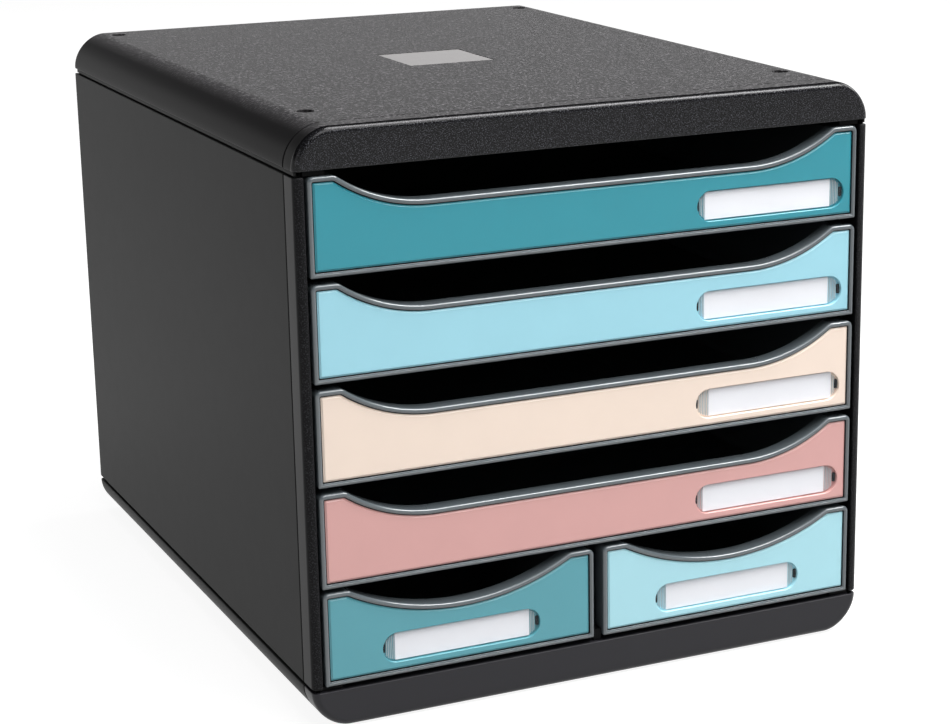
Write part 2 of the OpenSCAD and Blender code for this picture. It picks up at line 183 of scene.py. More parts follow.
def rounded_ends(start, end, start_edge, end_edge):
    """(inset, place) pairs along a body from start to end. Its edges are (radius, steps) roundings."""
    pairs = [(inset, start + depth) for inset, depth in edge_rounding(*start_edge)]
    return pairs + [(inset, end - depth) for inset, depth in reversed(edge_rounding(*end_edge))]


class Solid:
    """Vertices and faces of one piece, in millimetres."""

    def __init__(self):
        self.verts = []
        self.faces = []

    def ring(self, points):
        """Add points and return their indices."""
        start = len(self.verts)
        self.verts.extend(points)
        return list(range(start, len(self.verts)))

    def skin(self, rings, closed=True):
        """Quads between neighbouring rings with the same number of points."""
        for a, b in zip(rings, rings[1:]):
            for i in range(len(a) - (0 if closed else 1)):
                j = (i + 1) % len(a)
                self.faces.append((a[i], a[j], b[j], b[i]))

    def fill(self, loop, holes=()):
        """Flat face inside a loop of indices, around any holes."""
        loops = [loop, *holes]
        ids = [i for each in loops for i in each]
        corners = [[Vector(self.verts[i]) for i in each] for each in loops]
        for triangle in tessellate_polygon(corners):
            self.faces.append(tuple(ids[k] for k in triangle))

    def capped(self, rings):
        """A closed body from its first ring to its last."""
        self.skin(rings)
        self.fill(rings[0])
        self.fill(rings[-1])

    def block(self, low, high, r=BLOCK_R):
        """A box with rounded upright edges and soft ends."""
        r = min(r, *(MAX_ROUND * (b - a) for a, b in zip(low, high)))
        rings = []
        for inset, z in rounded_ends(low[2], high[2], (r, 2), (r, 2)):
            outline = rounded_rect(low[0], low[1], high[0], high[1], [r] * 4, inset, 2)
            rings.append(self.ring([(x, y, z) for x, y in outline]))
        self.capped(rings)

    def build(self, name, material, body, replaced, slot, mirrored=False):
        """Make the object, dress it and let it ride on its body in place of CAD nodes."""
        mesh = bpy.data.meshes.new(name)
        sign = -1 if mirrored else 1
        mesh.from_pydata([(sign * x * MM, y * MM, z * MM) for x, y, z in self.verts], [], self.faces)
        work = bmesh.new()
        work.from_mesh(mesh)
        bmesh.ops.remove_doubles(work, verts=work.verts, dist=MERGE_DIST)
        bmesh.ops.recalc_face_normals(work, faces=work.faces)
        work.to_mesh(mesh)
        work.free()
        mesh.shade_smooth()
        mesh.set_sharp_from_angle(angle=math.radians(SHARP_ANGLE))
        piece = bpy.data.objects.new(name, mesh)
        bpy.context.scene.collection.objects.link(piece)
        weighted = piece.modifiers.new("flat faces stay flat", "WEIGHTED_NORMAL")
        weighted.keep_sharp = True
        weighted.weight = 100
        mesh.materials.append(material)
        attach(piece, body)
        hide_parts(*replaced)
        return piece


# ---------- shader nodes ----------

def feed(tree, value, socket):
    """Set a socket to a number, or link an output to it."""
    if isinstance(value, (int, float)):
        socket.default_value = value
    else:
        tree.links.new(value, socket)


def map_range(tree, value, low, high, out_low, out_high):
    """Map value from low..high to out_low..out_high, clamped. Each limit is a number or an output."""
    node = tree.nodes.new("ShaderNodeMapRange")
    names = ("Value", "From Min", "From Max", "To Min", "To Max")
    for name, limit in zip(names, (value, low, high, out_low, out_high)):
        feed(tree, limit, node.inputs[name])
    return node.outputs["Result"]


def math_node(tree, operation, a, b):
    """Result of an operation on two values, each a number or an output."""
    node = tree.nodes.new("ShaderNodeMath")
    node.operation = operation
    feed(tree, a, node.inputs[0])
    feed(tree, b, node.inputs[1])
    return node.outputs[0]


def mix_colours(tree, factor, a, b):
    """Colour from a to b, as factor goes from 0 to 1."""
    node = tree.nodes.new("ShaderNodeMix")
    node.data_type = "RGBA"
    feed(tree, factor, node.inputs["Factor"])
    for socket, colour in zip([i for i in node.inputs if i.type == "RGBA"], (a, b)):
        socket.default_value = (*colour, 1)
    return [o for o in node.outputs if o.type == "RGBA"][0]


# ---------- materials ----------

SPECKLE_FULL = 0.72          # noise from which a grain is at its full height
SPECKLE_MEAN = 0.24          # average of the lid's speckle
CALM_SHARE = 0.3             # how much of its contrast is left away from the flat
WAVE_SIZE, WAVE_H = 60, 0.05    # slight waves of a grained moulding
CLOUD_SIZE, CLOUD = 25, 0.015   # uneven colour of smooth plastic: size and share
SHEEN_SIZE, SHEEN = 8, 0.02     # uneven gloss of smooth plastic: size and share
PEEL_SIZE, PEEL_H = 0.9, 0.002  # its orange peel
NOISE_RANGE = (0.3, 0.7)        # where most of the noise lies


def srgb(r, g, b):
    """Linear colour of an 8-bit display colour."""
    return tuple(((c / 255 + 0.055) / 1.055) ** 2.4 if c > 10 else c / 255 / 12.92 for c in (r, g, b))


class Paint:
    """A Principled material whose detail comes from noise in object space."""

    def __init__(self, name, colour, roughness, **sockets):
        self.material = bpy.data.materials.new(name)
        self.material.use_nodes = True
        self.tree = self.material.node_tree
        self.shader = self.tree.nodes["Principled BSDF"]
        self.colour = colour
        self.shader.inputs["Base Color"].default_value = (*colour, 1)
        self.shader.inputs["Roughness"].default_value = roughness
        for socket, value in sockets.items():
            self.shader.inputs[socket.replace("_", " ")].default_value = value
        self.place = self.tree.nodes.new("ShaderNodeTexCoord").outputs["Object"]
        self.height = None

    def noise(self, size, detail):
        """Noise whose features are about size millimetres across."""
        node = self.tree.nodes.new("ShaderNodeTexNoise")
        node.inputs["Scale"].default_value = 1 / (size * MM)
        node.inputs["Detail"].default_value = detail
        node.inputs["Roughness"].default_value = 0.5
        self.tree.links.new(self.place, node.inputs["Vector"])
        return node.outputs["Fac"]

    def spread(self, value, low, high, out_low, out_high):
        return map_range(self.tree, value, low, high, out_low, out_high)

    def mottle(self, value, low, high, dark, light):
        """Colour the surface between two multiples of its colour, as value goes from low to high."""
        shades = [[share * c for c in self.colour] for share in (dark, light)]
        colour = mix_colours(self.tree, self.spread(value, low, high, 0, 1), *shades)
        self.tree.links.new(colour, self.shader.inputs["Base Color"])

    def rough(self, value, low, high, smooth, rough):
        """Vary the roughness between two values, as value goes from low to high."""
        self.tree.links.new(self.spread(value, low, high, smooth, rough), self.shader.inputs["Roughness"])

    def near(self, axis, full, none):
        """Share that falls along an axis from 1 at the place full to 0 at the place none."""
        split = self.tree.nodes.new("ShaderNodeSeparateXYZ")
        self.tree.links.new(self.place, split.inputs["Vector"])
        return self.spread(split.outputs[axis], full * MM, none * MM, 1, 0)

    def bump(self, value, height):
        """Raise the surface by value times height, in millimetres."""
        node = self.tree.nodes.new("ShaderNodeBump")
        node.inputs["Strength"].default_value = 1.0
        node.inputs["Distance"].default_value = height * MM
        self.tree.links.new(value, node.inputs["Height"])
        if self.height is not None:
            self.tree.links.new(self.height, node.inputs["Normal"])
        self.height = node.outputs["Normal"]
        self.tree.links.new(self.height, self.shader.inputs["Normal"])


def grained(name, colour, roughness, grain, depth, dark, light, rare, band, least=0.0, flat=None, **sockets):
    """Spark-eroded plastic: fine grain in height and colour on some faces, and slight waves on all.

    grain and depth are the size and height of the grains in millimetres. dark and light are the multiples of
    the colour between them and on them. rare is the noise from which they rise, and least the share of the
    speckle between them, from 0 to 1. They show near band. Away from flat, where it is given, the speckle is
    calmer and as bright on average.
    """
    paint = Paint(name, colour, roughness, **sockets)
    speckle = paint.spread(paint.noise(grain, 1.0), rare, SPECKLE_FULL, least, 1)
    if flat:
        clear = paint.spread(paint.near(*flat), 0, 1, CALM_SHARE, 1)
        speckle = paint.spread(clear, 0, 1, SPECKLE_MEAN, speckle)
    speckle = math_node(paint.tree, "MULTIPLY", speckle, paint.near(*band))
    paint.mottle(speckle, 0, 1, dark, light)
    paint.bump(speckle, depth)
    paint.bump(paint.noise(WAVE_SIZE, 1.0), WAVE_H)
    return paint.material


def smooth_plastic(name, colour, roughness, **sockets):
    """Smooth satin plastic with a faint orange peel and hardly visible unevenness of colour."""
    paint = Paint(name, colour, roughness, **sockets)
    paint.mottle(paint.noise(CLOUD_SIZE, 3.0), *NOISE_RANGE, 1 - CLOUD, 1 + CLOUD)
    paint.rough(paint.noise(SHEEN_SIZE, 3.0), *NOISE_RANGE, roughness * (1 - SHEEN), roughness * (1 + SHEEN))
    paint.bump(paint.noise(PEEL_SIZE, 2.0), PEEL_H)
    return paint.material


# The lid's grain lies only near its top. Below this band the lid has just the colour between the grains, so
# its rounded sides are darker than its top: grain, and painted shade on the sides.
LID_GRAIN_AND_SHADE = ("Z", LID_TOP - 0.5, LID_TOP - 4.0)
LID_FLAT = ("Z", LID_TOP - 0.02, LID_TOP - 0.9)
FRONT_GRAIN = ("Y", FRONT_Y + 0.3, FRONT_Y + 2.2)
LID_PLASTIC = grained(
    "grained_lid", (0.0132, 0.0126, 0.0133), roughness=0.3, grain=1.4, depth=0.26, dark=0.62, light=7.6,
    rare=0.5, band=LID_GRAIN_AND_SHADE, least=0.05, flat=LID_FLAT, Specular_IOR_Level=0.02)
TRIM_PLASTIC = grained(
    "speckled_trim", (0.006, 0.006, 0.007), roughness=0.22, grain=0.46, depth=0.02, dark=0.5, light=10.5,
    rare=0.54, band=FRONT_GRAIN, Specular_IOR_Level=0.21)
BASE_TRIM_PLASTIC = smooth_plastic("satin_base", (0.022, 0.0215, 0.025), 0.35, Specular_IOR_Level=0.2)
STRIP_PLASTIC = grained(
    "speckled_strip", (0.009, 0.009, 0.0098), roughness=0.35, grain=0.6, depth=0.02, dark=0.8, light=4.0,
    rare=0.5, band=FRONT_GRAIN, Specular_IOR_Level=0.07)
PANEL_PLASTIC = smooth_plastic("satin_panel", (0.028, 0.028, 0.028), 0.4, Specular_IOR_Level=0.025)
# Near-black: painted shade, for the pieces put in seams and gaps where shade falls
SEAM_SHADE_PAINT = smooth_plastic("painted_seam_shade", (0.001, 0.001, 0.001), 0.9, Specular_IOR_Level=0.1)
RUNNER_PLASTIC = smooth_plastic("dark_runner", (0.003, 0.003, 0.0033), 0.5, Specular_IOR_Level=0.06)
RIM_PLASTIC = smooth_plastic("satin_rim", srgb(84, 91, 95), 0.12, Specular_IOR_Level=0.75)
CLEAR_PLASTIC = smooth_plastic("clear_window", (0.6, 0.7, 0.72), 0.1, Alpha=0.025)
RIB_PLASTIC = smooth_plastic("frosted_ribs", (0.68, 0.76, 0.8), 0.5, Alpha=0.65, Specular_IOR_Level=0.3)
# Near-black blocks in the window's notches: painted shade of the holes
NOTCH_SHADE_PAINT = smooth_plastic("painted_notch_shade", (0.003, 0.004, 0.008), 0.4, Specular_IOR_Level=0.1)
CARD = smooth_plastic("label_card", srgb(245, 245, 250), 0.8)
BADGE_PLASTIC = smooth_plastic("plain_badge", srgb(124, 122, 122), 0.4)
RUBBER = smooth_plastic("foot_rubber", srgb(28, 28, 28), 0.8)
FRONT_ROUGHNESS = 0.28


# ---------- lid and base ----------

FOOT_ROUNDING = 0.5  # rounding along the open edge of a cap
SEAM_SINK = 0.25     # how far the near-black pieces of painted shade in the seams lie below the surface
SEAM_LAP = 0.2       # how far they reach into the trims and the covers
SEAM_DEPTH = 2.0     # how far they reach in from the surface
TONGUE_L = 1.0       # length of the lid trim's own tongue, inside the trim
TONGUE_SINK = 0.05   # how far it lies below the lid's top
ARC_STEPS = 24
EDGE_FLATNESS = 1.1  # 1 is a round edge; above 1 its middle is flatter
COVER_FRONT_R = 0.4
COVER_BACK_R = 1.0
COVER_STEPS = 3      # steps of a cover's front rounding
TRIM_BACK_R = 0.3
LIP_SINK = 1.6       # how far the lips in the grooves lie behind the sides
LIP_BACK = 0.4       # how much less they lap the side walls than the solids' lips do
BEAD_SINK = 0.7      # how far the bead in front of them lies behind the sides
BEAD_TOP_GAP = 0.12  # hairline between that bead and the lid
BEAD_GAP = 0.65      # shadow gap below the bead
SOCKET_PROFILE = (   # (widening, depth) from the rim of a socket to its floor
    (0.25, 0.0), (0.05, 0.08), (0.0, 0.3), (0.0, SOCKET_DEPTH - 0.3), (-0.3, SOCKET_DEPTH))
BADGE_GAP = 0.2
BADGE_RECESS_R = 0.6
BADGE_EDGE_R = 0.25
FOOT_EDGE_R = 0.6


def cap_side(half, top, r, foot, bottom):
    """Right half of a cap's end view, from its open edge up to the end of the long rounded edge."""
    start = arc(half - foot, bottom + foot, foot, -90, 0, 4) if foot else [(half, bottom)]
    angles = [math.pi / 2 * i / ARC_STEPS for i in range(ARC_STEPS + 1)]
    return start + [(half - r + r * abs(math.cos(t)) ** EDGE_FLATNESS,
                     top - r + r * math.sin(t) ** EDGE_FLATNESS) for t in angles]


class Cap(Solid):
    """Lid or base moulding: a shallow box with two long rounded edges, drawn open side down.

    z0 is the height of its open edge, and up is 1 for the lid or -1 for the base, which is turned over.
    """

    def __init__(self, h, r, z0, up):
        super().__init__()
        self.h, self.r, self.z0, self.up = h, r, z0, up

    def side_rings(self, y, inset, foot, bottom):
        """Right and left halves of one section drawn in by inset, from the open edge to the top."""
        side = cap_side(HALF_W - inset, self.h - inset, self.r - inset, foot, bottom)
        return [self.ring([(sign * x, y, self.level(z)) for x, z in side]) for sign in (1, -1)]

    def shell(self, stations, span, top_holes=(), below=None, behind=None):
        """Skin through (y, inset, lift) stations. Holes open in the flat of the span between two of them."""
        sections = [self.side_rings(y, inset, FOOT_ROUNDING, lift) for y, inset, lift in stations]
        for k, (a, b) in enumerate(zip(sections, sections[1:])):
            for side in (0, 1):
                self.skin([a[side], b[side]], closed=False)
            top = [a[0][-1], b[0][-1], b[1][-1], a[1][-1]]
            bottom = [a[0][0], b[0][0], b[1][0], a[1][0]]
            self.fill(top, top_holes if k == span else ())
            self.fill(bottom, [below] if k == span and below else ())
        first, last = sections[0], sections[-1]
        self.fill(first[0] + first[1][::-1])
        self.fill(last[0] + last[1][::-1], [behind] if behind else ())

    def hollow(self, y0, y1, bottom=0.0):
        """Inner skin between two depths. Returns its section at each end as one loop."""
        loops = []
        for y in (y0, y1):
            right, left = self.side_rings(y, WALL, 0, bottom)
            loops.append(right + left[::-1])
        self.skin(loops, closed=False)
        return loops

    def level(self, z):
        """Height of a place that is z away from the open edge."""
        return self.z0 + self.up * z

    def lips(self, start, end, sink):
        """Lips between two heights over the open edge of a cap, sink behind the sides."""
        low, high = sorted((self.level(start), self.level(end)))
        for sign in (-1, 1):
            x0, x1 = sorted((sign * (BAY_X - LIP + LIP_BACK), sign * (HALF_W - sink)))
            self.block((x0, FRONT_Y + SILL_BACK, low), (x1, BAY_BACK + LIP, high))
        self.block((LIP - BAY_X, BAY_BACK - LIP, low), (BAY_X - LIP, BAY_BACK + LIP, high))


def lid_cap():
    return Cap(LID_H, LONG_EDGE_R, LID_Z, 1)


def base_cap():
    return Cap(BASE_H, BASE_EDGE_R, BASE_TOP, -1)


def socket_places():
    """Middles of the four stacking sockets, which are those of the feet too."""
    return [(sign * (HALF_W - SOCKET_SIDE), y) for sign in (-1, 1)
            for y in (FRONT_Y + SOCKET_FRONT, BACK_Y - SOCKET_BACK)]


def cover(cap, name, material, slot, sockets=False):
    """Lid or base behind its seam: hollow, with an end wall at the front and at the back."""
    ends = rounded_ends(COVER_Y, BACK_Y, (COVER_FRONT_R, COVER_STEPS), (COVER_BACK_R, 4))
    front, back = cap.hollow(COVER_Y + END_WALL, BAY_BACK)
    cap.fill(front)
    cap.fill(back)
    below = [front[0], back[0], back[-1], front[-1]]
    holes = []
    if sockets:
        holes = [socket(cap, x, y) for x, y in socket_places()]
        holes.append(badge_recess(cap))
    cap.shell([(y, inset, 0.0) for inset, y in ends], COVER_STEPS, holes, below)
    cap.build(name, material, "casing", [name], slot)


def socket(cap, x, y):
    """Shallow round stacking socket with softened rims. Returns its loop in the lid's top."""
    rings = [cap.ring([(px, py, LID_TOP - depth) for px, py in circle(x, y, SOCKET_R + widening)])
             for widening, depth in SOCKET_PROFILE]
    cap.skin(rings)
    cap.fill(rings[-1])
    return rings[0]


def badge_recess(cap):
    """Square recess that holds the badge plate. Returns its loop in the lid's top."""
    outline = rounded_rect(BADGE_LOW.x - BADGE_GAP, BADGE_LOW.y - BADGE_GAP,
                           BADGE_HIGH.x + BADGE_GAP, BADGE_HIGH.y + BADGE_GAP, [BADGE_RECESS_R] * 4)
    rings = [cap.ring([(x, y, z) for x, y in outline]) for z in (LID_TOP, BADGE_LOW.z)]
    cap.skin(rings)
    cap.fill(rings[-1])
    return rings[0]


def foot_lift(depth):
    """How far the open edge of a trim is lifted, so that its rounding runs on around the front corner."""
    return FOOT_ROUNDING - math.sqrt(max(0.0, FOOT_ROUNDING**2 - max(0.0, FOOT_ROUNDING - depth)**2))


def front_trim(cap, name, material, rear_material=None, seam_tongue=0.0):
    """Front moulding of the lid or base, rounded along its front edges and open at the back.

    rear_material is its finish behind that rounding, where it differs from the front's. seam_tongue is the
    gap that its tongue leaves in the seam on the lid's top; at 0 it has none.
    """
    rounding = edge_rounding(FRONT_EDGE_R, 8)
    stations = [(FRONT_Y + depth, inset, foot_lift(depth)) for inset, depth in rounding]
    stations += [(TRIM_Y - depth, inset, 0.0) for inset, depth in reversed(edge_rounding(TRIM_BACK_R, 2))]
    front, back = cap.hollow(FRONT_Y + WALL, TRIM_Y, END_WALL)
    cap.fill(front)
    cap.shell(stations, len(rounding) - 1, behind=back)
    if seam_tongue:
        flat = HALF_W - cap.r
        cap.block((-flat, TRIM_Y - TONGUE_L, LID_TOP - WALL),
                  (flat, COVER_Y - seam_tongue, LID_TOP - TONGUE_SINK))
    trim = cap.build(name, material, "casing", [name], "trim_plastic")
    if rear_material:
        trim.data.materials.append(rear_material)
        for face in trim.data.polygons:
            face.material_index = int(face.center.y > (FRONT_Y + FRONT_EDGE_R) * MM)


def cap_seam_shade(cap, groove_h, name, node):
    """Painted shade: near-black pieces in the seam between a cap's cover and its front trim, and near-black
    lips below both, where the seam and the groove fall into shade.
    """
    outer, inner = [[cap.side_rings(y, inset, 0, SEAM_SINK) for y in (TRIM_Y - SEAM_LAP, COVER_Y + SEAM_LAP)]
                    for inset in (SEAM_SINK, SEAM_DEPTH)]
    for (a, b), (c, d) in zip(outer, inner):
        cap.fill(a + b[::-1] + d + c[::-1])
    for rings in (outer, inner):
        cap.skin([a + b[::-1] for a, b in rings], closed=False)
    cap.lips(-groove_h, WALL, LIP_SINK)
    cap.build(name, SEAM_SHADE_PAINT, "casing", [node], "trim_plastic")


def groove_bead(cap, groove_h, name, node):
    """Thin ledge that stands in the groove below a cap, close to its edge."""
    cap.lips(BEAD_GAP - groove_h, -BEAD_TOP_GAP, BEAD_SINK)
    cap.build(name, PANEL_PLASTIC, "casing", [node], "trim_plastic")


def lid_and_base():
    lid_groove = LID_Z - PANEL_Z1
    base_groove = PANEL_Z0 - BASE_TOP
    cover(lid_cap(), "top_cover", LID_PLASTIC, "casing_plastic", True)
    cover(base_cap(), "base_tray", PANEL_PLASTIC, "casing_plastic")
    front_trim(lid_cap(), "top_front_trim", TRIM_PLASTIC, LID_PLASTIC, 0.1)
    front_trim(base_cap(), "base_front_trim", BASE_TRIM_PLASTIC)
    cap_seam_shade(lid_cap(), lid_groove, "lid_seam_shade", "top_front_trim")
    cap_seam_shade(base_cap(), base_groove, "base_seam_shade", "base_front_trim")
    groove_bead(lid_cap(), lid_groove, "lid_groove_bead", "top_front_trim")


def badge():
    plate = Solid()
    plate.block(BADGE_LOW, BADGE_HIGH, BADGE_EDGE_R)
    plate.build("badge_face", BADGE_PLASTIC, "casing", ["badge_plate"], "badge_plastic")


def feet():
    """Four rubber pads with a rounded edge, under the sockets' places."""
    pads = Solid()
    profile = [(FOOT_R - inset, z) for inset, z in edge_rounding(FOOT_EDGE_R, 4)] + [(FOOT_R, FOOT_H)]
    for x, y in socket_places():
        pads.capped([pads.ring([(px, py, z) for px, py in circle(x, y, r)]) for r, z in profile])
    pads.build("foot_pads", RUBBER, "casing", ["stacking_feet"], "foot_rubber")


# ---------- panels and strips ----------

PANEL_EDGE_R = 0.45
INNER_EDGE_R = 0.3
STRIP_EDGE_R = 0.6  # inner front edge of a strip
SEAM_END = 0.5      # how far the upright seams keep clear of the panels' ends and inner faces


def upright(x0, y0, x1, y1, radii, z0, z1):
    """A body of constant plan from z0 to z1 with rounded edges."""
    body = Solid()
    edge = (PANEL_EDGE_R, 3)
    body.capped([body.ring([(x, y, z) for x, y in rounded_rect(x0, y0, x1, y1, radii, inset)])
                 for inset, z in rounded_ends(z0, z1, edge, edge)])
    return body


def panels_and_strips():
    panel_radii = [PANEL_EDGE_R, PANEL_EDGE_R, INNER_EDGE_R, INNER_EDGE_R]
    strip_radii = [FRONT_EDGE_R, INNER_EDGE_R, INNER_EDGE_R, STRIP_EDGE_R]
    for side, mirrored in (("right", False), ("left", True)):
        panel = upright(BAY_X, COVER_Y, HALF_W, BACK_Y, panel_radii, PANEL_Z0, PANEL_Z1)
        panel.build(f"{side}_panel_skin", PANEL_PLASTIC, "casing", [f"{side}_side_panel"],
                    "panel_plastic", mirrored=mirrored)
        strip = upright(STRIP_X, FRONT_Y, HALF_W, TRIM_Y, strip_radii, STRIP_LOW.z, STRIP_HIGH.z)
        strip.build(f"{side}_strip_skin", STRIP_PLASTIC, "casing", [f"{side}_front_strip"],
                    "trim_plastic", mirrored=mirrored)
        # Near-black block in the seam between strip and panel: painted shade of that gap
        seam = Solid()
        seam.block((BAY_X + SEAM_END, TRIM_Y - SEAM_LAP, PANEL_Z0 + SEAM_END),
                   (HALF_W - SEAM_SINK, COVER_Y + SEAM_LAP, PANEL_Z1 - SEAM_END))
        seam.build(f"{side}_seam", SEAM_SHADE_PAINT, "casing", [f"{side}_front_strip"],
                   "trim_plastic", mirrored=mirrored)
    back = upright(-BAY_X, BAY_BACK, BAY_X, BACK_Y, [PANEL_EDGE_R] * 4, PANEL_Z0, PANEL_Z1)
    back.build("back_panel_skin", PANEL_PLASTIC, "casing", ["back_panel"], "panel_plastic")


# ---------- drawers ----------

class Drawer:
    """Sizes and outline of one drawer, taken from its CAD nodes."""

    def __init__(self, prefix, body, colour, slot):
        low, high = mm_box(prefix + "_front")
        self.tray_low, self.tray_high = mm_box(prefix + "_tray")
        self.card_low, self.card_high = mm_box(prefix + "_label")
        window_low, window_high = mm_box(prefix + "_window")
        self.prefix, self.body, self.colour, self.slot = prefix, body, colour, slot
        self.x = (low.x + high.x) / 2
        self.z = self.tray_low.z
        self.w = high.x - low.x + 2 * INSERT_EDGE
        self.run = SCOOP_RUN if self.w > WIDE else self.w / 2 - SHOULDER
        self.window = ((window_low.x + window_high.x) / 2, (window_low.z + window_high.z) / 2)
        self.field_y = low.y
        self.window_y = self.field_y + WINDOW_SINK
        self.window_back = self.window_y + WINDOW_T

    def outline(self, inset):
        """Front outline drawn in by inset: corners, level shoulders, bends and the scoop."""
        w, run = self.w, self.run
        slope = 2 * math.degrees(math.atan(SCOOP_H / run))
        bow = run / math.sin(math.radians(slope)) - KINK_R
        flat = w / 2 - SHOULDER - run
        top = max(RIM_CORNER_R - inset, INSERT_R)
        low = max(RIM_LOW_R - inset, INSERT_R)
        edge = w / 2 - inset
        right = arc(edge - low, inset + low, low, -90, 0, 4)
        right += arc(edge - top, DRAWER_H - inset - top, top, 0, 90, 8)
        right += arc(w / 2 - SHOULDER, DRAWER_H - KINK_R, KINK_R - inset, 90, 90 + slope, 8)
        right += arc(flat, DRAWER_H - SCOOP_H + bow, bow + inset, slope - 90, -90, 40)
        left = [(-x, z) for x, z in reversed(right) if x > 1e-6]
        return [(self.x + x, self.z + z) for x, z in right + left]

    def ring(self, solid, inset, y):
        return solid.ring([(x, y, z) for x, z in self.outline(inset)])

    def stadium_ring(self, solid, half_w, half_h, y):
        """Ring of the label window's shape with the given half sizes."""
        x, z = self.window
        run = half_w - half_h
        points = arc(x + run, z, half_h, -90, 90, STADIUM_STEPS)
        points += arc(x - run, z, half_h, 90, 270, STADIUM_STEPS)
        return solid.ring([(px, y, pz) for px, pz in points])

    def notch_spans(self):
        """Ends of the two release notches, left and right in the window."""
        x = self.window[0]
        return (x - NOTCH_OUTER, x - NOTCH_INNER), (x + NOTCH_INNER, x + NOTCH_OUTER)

    def notch_holes(self, solid, y0, y1):
        """Walls of the notches between two depths. Returns their loops at the first and at the second."""
        z = self.window[1]
        notches = [rounded_rect(x0, z - NOTCH_H / 2, x1, z + NOTCH_H / 2, [NOTCH_R] * 4, 0, 3)
                   for x0, x1 in self.notch_spans()]
        holes = [[solid.ring([(x, y, z) for x, z in notch]) for y in (y0, y1)] for notch in notches]
        for hole in holes:
            solid.skin(hole)
        return [hole[0] for hole in holes], [hole[1] for hole in holes]


RIM_EDGE_R = 1.2      # rounding along the rim's front outer edge
RIM_BACK_R = 0.5      # rounding along its rear outer edge
RIM_STEP = 0.55       # width of the small step along the rim's inner edge
RIM_STEP_DEPTH = 0.35
RIM_STEP_R = 0.15
TUB_LAP = 0.5         # how far the tub reaches into the web
TUB_OUTER_R = 1.2
TUB_INNER_R = 2.4
TUB_TOP = 0.4         # bevels along the tops of the side walls
TUB_JOIN = 0.4        # how far inside the outer faces the tub meets its back wall and its ears


def tray(d):
    """Tray with its rim: one swept rim and web, and a tub with ears behind it."""
    solid = Solid()
    profile = [(RIM_T, INSERT_REAR)]
    for edge, depth in ((RIM_T, RIM_STEP_DEPTH), (RIM_T - RIM_STEP, 0.0)):
        profile += [(edge - i, FRONT_Y + depth + y) for i, y in reversed(edge_rounding(RIM_STEP_R, 3))]
    profile += [(i, FRONT_Y + y) for i, y in edge_rounding(RIM_EDGE_R, 8)]
    profile += [(i, RIM_BACK - y) for i, y in reversed(edge_rounding(RIM_BACK_R, 3))]
    profile += [(RIM_T, RIM_BACK), (RIM_T, WEB_REAR)]
    rings = [d.ring(solid, inset, y) for inset, y in profile]
    solid.skin(rings)
    front_loops, rear_loops = d.notch_holes(solid, INSERT_REAR, WEB_REAR)
    solid.fill(rings[0], front_loops)
    solid.fill(rings[-1], rear_loops)
    tub(solid, d)
    solid.build(d.prefix + "_tray_skin", RIM_PLASTIC, d.body, [d.prefix + "_tray"], "tray_plastic")


def tub_side(half, floor, r):
    """Right half of the tub's floor and side in its end view, up to the wall's top."""
    return arc(half - r, floor + r, r, -90, 0, 6) + [(half, TRAY_H - TUB_TOP)]


def tub(solid, d):
    """Floor, side walls, back wall and ears behind the web."""
    x1 = d.w / 2 - RIM_T
    back = d.tray_high.y
    right = tub_side(x1, 0.0, TUB_OUTER_R) + [(x1 - TUB_TOP, TRAY_H), (x1 - TRAY_T + TUB_TOP, TRAY_H)]
    right += tub_side(x1 - TRAY_T, TRAY_T, TUB_INNER_R)[::-1]
    outline = right + [(-x, z) for x, z in reversed(right)]
    solid.capped([solid.ring([(d.x + x, y, d.z + z) for x, z in outline])
                  for y in (WEB_REAR - TUB_LAP, back)])
    left_join, right_join = d.x - x1 + TUB_JOIN, d.x + x1 - TUB_JOIN
    solid.block((left_join, back - TRAY_T, d.z + TUB_JOIN), (right_join, back, d.z + TRAY_H))
    solid.block((d.tray_low.x, back - EAR_L, d.z), (left_join, back, d.z + STOP_H))
    solid.block((right_join, back - EAR_L, d.z), (d.tray_high.x, back, d.z + STOP_H))


FRONT_GAP = 0.12      # how far the coloured front's border keeps clear of its seat
FRONT_SEAT = 0.3      # thickness of its edge in the seat
BORDER_R = 0.2
BEVEL_START = 0.45    # from the seat to the raised field's bevel
BEVEL_W = 0.55
BEVEL_EASE = 0.15     # softened ends of the bevel: share of its width
BEVEL_EASE_H = 0.1    # and of its height
FIELD_LAND = 0.25     # narrow strip of the field beside the bevel
POCKET_PROFILE = (    # (widening, depth) from the field around the label pocket to its floor
    (0.45, 0.0), (0.22, 0.0), (0.18, 0.03), (0.03, 0.18), (0.0, 0.22), (0.0, POCKET_DEPTH))


